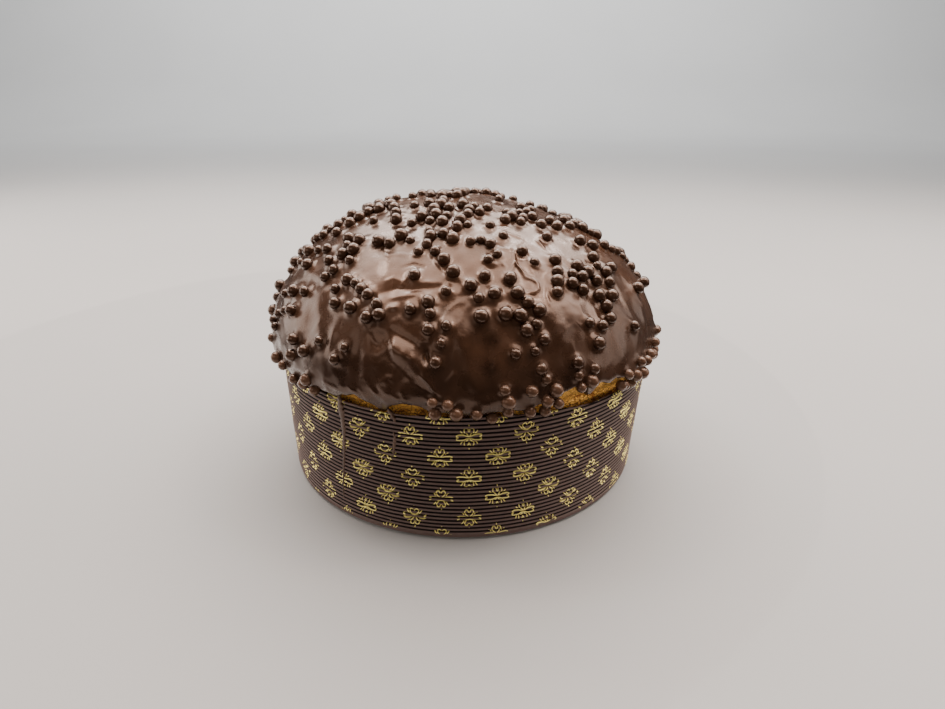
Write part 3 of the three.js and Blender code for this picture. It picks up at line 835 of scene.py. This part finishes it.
def coating_material():
    material, graph, shader, where = new_material(
        "poured_dark_chocolate", Specular_Tint=CHOCOLATE_SHEEN, IOR=1.52,
        Coat_Weight=0.12, Coat_Roughness=0.12
    )
    tone = graph.noise(where, 32.0, 4.0)
    colour = graph.mix(
        graph.between(tone, 0.35, 0.65),
        (0.024, 0.0104, 0.0054, 1),
        (0.05, 0.0228, 0.0122, 1),
    )
    # Painted shade: the chocolate is painted darker low on the side.
    height = graph.node("ShaderNodeSeparateXYZ", {0: where}).outputs["Z"]
    painted_shade_low = graph.between(height, 0.085, 0.125, 0.45, 0.0)
    colour = graph.mix(painted_shade_low, colour, (0.008, 0.0036, 0.002, 1))
    # Patches painted darker and redder as painted shade, and at one hole the crumb shows.
    mottled = graph.noise(where, 700.0, 3.0)
    uneven = graph.between(mottled, 0.3, 0.6, 0.5, 1.0)
    for patch in PAINTED_SHADE_PATCHES:
        painted_shade = graph.math("MULTIPLY", spot(graph, where, patch, 0.9), uneven)
        colour = graph.mix(painted_shade, colour, (0.012, 0.0045, 0.0018, 1))
    crumb = graph.mix(
        graph.between(mottled, 0.4, 0.6), (0.1, 0.03, 0.007, 1), (0.5, 0.19, 0.03, 1)
    )
    colour = graph.mix(spot(graph, where, CRUMB_HOLE, 0.35), colour, crumb)
    graph.put(shader, "Base Color", colour)
    rough = graph.between(graph.noise(where, 90.0, 3.0), 0.3, 0.7, 0.22, 0.34)
    graph.put(shader, "Roughness", rough)
    fine = graph.noise(where, 260.0, 3.0)
    graph.put(shader, "Normal", graph.bump(fine, 0.00025, 0.5))
    return material


def pearl_material():
    material, graph, shader, where = new_material(
        "pearl_chocolate", Specular_Tint=CHOCOLATE_SHEEN, IOR=1.5,
        Coat_Weight=0.2, Coat_Roughness=0.07
    )
    # Painted light: the pearls low down near the edge are painted paler, over a random tone.
    height = graph.node("ShaderNodeSeparateXYZ", {0: where}).outputs["Z"]
    tone = graph.math("ADD", graph.noise(where, 60.0, 2.0), -0.5)
    tone_and_painted_light = graph.math("ADD", graph.between(height, 0.076, 0.096, 1.0, 0.0), tone)
    colour = graph.mix(
        graph.clamped(tone_and_painted_light),
        (0.026, 0.0116, 0.0062, 1),
        (0.085, 0.044, 0.027, 1),
    )
    graph.put(shader, "Base Color", colour)
    rough = graph.between(graph.noise(where, 300.0, 2.0), 0.3, 0.7, 0.17, 0.26)
    graph.put(shader, "Roughness", rough)
    return material


def crust_material():
    material, graph, shader, where = new_material("golden_crust", Roughness=0.75)
    # Thin darker veins run between the grains of the crumb.
    cells = graph.node(
        "ShaderNodeTexVoronoi", {"Vector": where, "Scale": 650.0},
        feature="DISTANCE_TO_EDGE",
    ).outputs["Distance"]
    patches = graph.noise(where, 120.0, 5.0, 0.6)
    colour = graph.mix(
        graph.between(patches, 0.32, 0.48),
        (0.32, 0.095, 0.02, 1),
        (1.0, 0.54, 0.12, 1),
    )
    crumb = graph.between(cells, 0.0, 0.1)
    colour = graph.mix(crumb, (0.3, 0.1, 0.03, 1), colour)
    graph.put(shader, "Base Color", colour)
    height = graph.math("ADD", patches, graph.math("MULTIPLY", crumb, 0.6))
    graph.put(shader, "Normal", graph.bump(height, 0.0012, 0.9))
    return material


def length(graph, x, y):
    squares = graph.math(
        "ADD", graph.math("MULTIPLY", x, x), graph.math("MULTIPLY", y, y)
    )
    return graph.math("SQRT", squares)


# Distance from a point to a stroke, in the same units as the point.
def stroke(graph, x, y, start, end):
    along = (end[0] - start[0], end[1] - start[1])
    size = along[0] ** 2 + along[1] ** 2
    from_x = graph.math("SUBTRACT", x, start[0])
    from_y = graph.math("SUBTRACT", y, start[1])
    dot = graph.math(
        "ADD",
        graph.math("MULTIPLY", from_x, along[0] / size),
        graph.math("MULTIPLY", from_y, along[1] / size),
    )
    share = graph.clamped(dot)
    off_x = graph.math("SUBTRACT", from_x, graph.math("MULTIPLY", share, along[0]))
    off_y = graph.math("SUBTRACT", from_y, graph.math("MULTIPLY", share, along[1]))
    return length(graph, off_x, off_y)


# One quarter of the printed ornament, in millimetres to the right and up: the scroll that
# lies on its side, the side of the standing one, its notch, a leaf and a dot.
SCROLL = (
    ((0.0, 0.75), (1.2, 0.9), (2.6, 1.3), (4.7, 1.4), (5.8, 1.15), (5.7, 0.6), (5.0, 0.45)),
    ((2.25, 3.5), (2.1, 2.5), (0.5, 1.2)),
    ((0.3, 3.4), (0.0, 3.2)),
    ((2.7, 2.2), (3.9, 3.4)),
    ((0.0, 6.1), (0.0, 6.4)),
)


# Half the width of a stroke of ink, and of a stroke with its soft edge.
STROKE = 0.13
STROKE_EDGE = 0.3

# The ring at the top of each standing scroll: its centre and radius, and the height below
# which it is open.
RING = (1.3, 3.65)
RING_RADIUS = 0.95
RING_FROM = 3.5

# The rows of ornaments on the flat paper: one row to the next, their climb for each
# millimetre to the right, and the place of one ornament, in columns of 15 degrees and in
# millimetres up.
ROW_GAP = 11.5
ROW_CLIMB = 0.0277
FIRST_MOTIF = (1.3 / 15, 59.1)

# Below this height the paper is the plain fold of the base.
PLAIN_FOLD = 2.3


# The ornament: four heart-shaped scrolls round a centre, a leaf between each two, and a dot
# above and below. Right and Up are in millimetres on the flat paper.
def scroll_group():
    tree = bpy.data.node_groups.new("four_lobed_scroll", "ShaderNodeTree")
    for name in ("Right", "Up"):
        tree.interface.new_socket(name, in_out="INPUT", socket_type="NodeSocketFloat")
    tree.interface.new_socket("Print", in_out="OUTPUT", socket_type="NodeSocketFloat")
    graph = Graph(tree)
    given = graph.node("NodeGroupInput")
    x = graph.math("ABSOLUTE", given.outputs["Right"])
    y = graph.math("ABSOLUTE", given.outputs["Up"])
    ring = length(
        graph, graph.math("SUBTRACT", x, RING[0]), graph.math("SUBTRACT", y, RING[1])
    )
    ring = graph.math("ABSOLUTE", graph.math("SUBTRACT", ring, RING_RADIUS))
    below = graph.math("MULTIPLY", graph.math("LESS_THAN", y, RING_FROM), 2.0)
    distances = [graph.math("ADD", ring, below)]
    for line in SCROLL:
        for start, end in zip(line, line[1:]):
            distances.append(stroke(graph, x, y, start, end))
    nearest = distances[0]
    for other in distances[1:]:
        nearest = graph.math("MINIMUM", nearest, other)
    ink = graph.between(nearest, STROKE, STROKE_EDGE, 1.0, 0.0)
    out = graph.node("NodeGroupOutput")
    graph.put(out, "Print", ink)
    return tree


def paper_material():
    material, graph, shader, where = new_material(
        "fluted_paper", Specular_IOR_Level=0.15
    )
    unrolled = graph.node("ShaderNodeUVMap", uv_map="unrolled").outputs["UV"]
    split = graph.node("ShaderNodeSeparateXYZ", {0: unrolled})
    column = split.outputs["X"]
    height = split.outputs["Y"]
    pitch = MOULD_HEIGHT / FLUTES
    phase = graph.math("FRACT", graph.math("DIVIDE", height, pitch))
    off_ridge = graph.math("ABSOLUTE", graph.math("SUBTRACT", phase, 0.5))
    ridge = graph.between(off_ridge, 0.21, 0.32, 1.0, 0.0)
    ridge = graph.math("MAXIMUM", ridge, graph.math("LESS_THAN", height, PLAIN_FOLD))

    # Two sets of rows, the second half a column along and one row down.
    motif = scroll_group()
    column_width = 2 * math.pi * MOULD_RADIUS / MOTIFS_ROUND
    second_motif = (FIRST_MOTIF[0] + 0.5, FIRST_MOTIF[1] - ROW_GAP)
    prints = []
    for shift, first in (FIRST_MOTIF, second_motif):
        along = graph.math("SUBTRACT", column, shift)
        nearest = graph.math("ROUND", along)
        right = graph.math(
            "MULTIPLY", graph.math("SUBTRACT", along, nearest), column_width
        )
        climb = graph.math("MULTIPLY", column, ROW_CLIMB * column_width)
        up = graph.math("SUBTRACT", graph.math("SUBTRACT", height, first), climb)
        rows_up = graph.math("DIVIDE", up, 2 * ROW_GAP)
        up = graph.math("SUBTRACT", rows_up, graph.math("ROUND", rows_up))
        up = graph.math("MULTIPLY", up, 2 * ROW_GAP)
        placed = graph.node("ShaderNodeGroup", node_tree=motif)
        graph.put(placed, "Right", right)
        graph.put(placed, "Up", up)
        prints.append(placed.outputs["Print"])
    ink = graph.math("MAXIMUM", *prints)
    ink = graph.math("MULTIPLY", ink, graph.math("GREATER_THAN", height, PLAIN_FOLD))
    # Down in the grooves the ink is dimmed by half, as painted shade.
    ink = graph.math("MULTIPLY", ink, graph.between(off_ridge, 0.26, 0.4, 1.0, 0.5))

    mottled = graph.noise(where, 400.0, 3.0)
    paper = graph.mix(mottled, (0.095, 0.067, 0.059, 1), (0.14, 0.098, 0.088, 1))
    # Painted shade: the grooves between the ridges are painted near black.
    colour = graph.mix(ridge, (0.003, 0.0015, 0.0015, 1), paper)
    colour = graph.mix(ink, colour, (1.0, 0.87, 0.27, 1))
    graph.put(shader, "Base Color", colour)
    graph.put(shader, "Metallic", graph.math("MULTIPLY", ink, 0.7))
    graph.put(shader, "Roughness", graph.between(ink, 0, 1, 0.62, 0.38, "LINEAR"))
    graph.put(shader, "Normal", graph.bump(mottled, 0.0002, 0.5))
    return material


# The scene

def area_light(name, place, aim, size, power, colour=(1, 1, 1), reflected=True):
    data = bpy.data.lights.new(name, "AREA")
    data.shape = "ELLIPSE"
    data.size, data.size_y = size
    data.energy = power
    data.color = colour
    light = bpy.data.objects.new(name, data)
    bpy.context.scene.collection.objects.link(light)
    light.location = place
    way = Vector(aim) - Vector(place)
    light.rotation_euler = way.to_track_quat("-Z", "Y").to_euler()
    light.visible_glossy = reflected


def floor_material(name, dark, tone_and_painted_light):
    material, graph, shader, where = new_material(name, Roughness=0.8)
    tone = graph.between(graph.noise(where, 3.0, 2.0), 0, 1, dark, tone_and_painted_light)
    grey = graph.node("ShaderNodeCombineColor", {0: tone, 1: tone, 2: tone})
    graph.put(shader, "Base Color", grey.outputs[0])
    return material


# The floor, in metres: a sheet that curves up into the backdrop behind the part. The part's
# gloss mirrors only a pale round patch, a disc of its own that the camera doesn't see, and
# neither throws light back on it.
def make_floor():
    patch_radius = 0.33
    patch_middle = (-0.09, 0.09, 0)
    sheet_half = 6
    curve_from = 2.5
    just_below = 0.0003
    bm = bmesh.new()
    bmesh.ops.create_circle(
        bm, cap_ends=True, segments=96, radius=patch_radius,
        matrix=Matrix.Translation(patch_middle),
    )
    disc = bpy.data.meshes.new("floor_disc")
    bm.to_mesh(disc)
    bm.clear()
    bmesh.ops.create_grid(bm, x_segments=40, y_segments=40, size=1)
    sheet = bpy.data.meshes.new("floor_sheet")
    bm.to_mesh(sheet)
    bm.free()
    at = coords(sheet) * sheet_half
    at[:, 2] = np.maximum(at[:, 1] - curve_from, 0) ** 2 * 0.9 - just_below
    set_coords(sheet, at)
    sheet.shade_smooth()
    disc.materials.append(floor_material("pale_disc", 0.43, 0.46))
    sheet.materials.append(floor_material("pale_floor", 0.3, 0.32))
    for mesh in (disc, sheet):
        floor = bpy.data.objects.new(mesh.name, mesh)
        bpy.context.scene.collection.objects.link(floor)
        floor.visible_diffuse = False
        floor.visible_glossy = mesh is disc
        floor.visible_camera = mesh is sheet
        floor.visible_shadow = mesh is sheet


# Soft light from above, from behind and from both sides, in metres and watts. The gloss
# doesn't mirror the three fills.
def make_studio():
    make_floor()
    world = bpy.data.worlds.new("studio")
    bpy.context.scene.world = world
    world.use_nodes = True
    sky = world.node_tree.nodes["Background"]
    sky.inputs["Color"].default_value = (1, 0.96, 0.93, 1)
    sky.inputs["Strength"].default_value = 0.07
    middle = (0, 0, 0.09)
    warm = (1.0, 0.89, 0.81)
    area_light("overhead", (0.1, 0.35, 0.95), middle, (2.6, 1.4), 62, (1.0, 0.87, 0.78))
    area_light("left_spot", (-0.38, 0.14, 0.85), middle, (0.16, 0.16), 1.4, warm)
    area_light("right_spot", (0.4, 0.0, 0.85), middle, (0.16, 0.16), 1.6, warm)
    area_light("left_side", (-1.2, 0.3, 0.3), middle, (1.2, 0.8), 8.0, warm)
    area_light("right_side", (1.2, 0.1, 0.45), middle, (1.2, 0.8), 3.5, warm)
    area_light("front_glow", (-0.85, -0.95, 0.7), middle, (1.2, 0.7), 3.0, warm)
    area_light("front_fill", (0.3, -1.2, 0.2), middle, (1.2, 0.5), 5.5, warm, False)
    area_light("left_fill", (-1.25, 0.0, 0.2), middle, (0.9, 0.5), 10, warm, False)
    area_light("right_fill", (1.25, -0.1, 0.2), middle, (0.9, 0.5), 9, warm, False)
    area_light("backdrop", (0, 2.6, 3.0), (0, 4.2, 0.8), (5.0, 1.0), 420)


# The camera looks down on the front from close by.
def make_camera():
    data = bpy.data.cameras.new("camera")
    data.lens = 24.25
    data.sensor_width = 36
    data.clip_start = 0.01
    camera = bpy.data.objects.new("camera", data)
    bpy.context.scene.collection.objects.link(camera)
    camera.location = (0, -0.3578, 0.209)
    way = Vector((0.0056, 0, 0.0556)) - camera.location
    camera.rotation_euler = way.to_track_quat("-Z", "Y").to_euler()
    bpy.context.scene.camera = camera


pearls = drop_pearls()
make_camera()
make_studio()
chocolate = ("chocolate_coating", "dark_chocolate")
poured = coating_material()
add_piece("coating", coating_mesh(pearls), poured, *chocolate)
add_piece("pearls", pearl_mesh(pearls), pearl_material(), *chocolate)
for number, line in enumerate(RUNS, 1):
    add_piece(f"run_{number}", run_mesh(line), poured, *chocolate)
add_piece("baked_loaf", loaf_mesh(), crust_material(), "loaf", "baked_crust")
add_piece("fluted_mould", mould_mesh(), paper_material(), "paper_mould", "mould_paper")
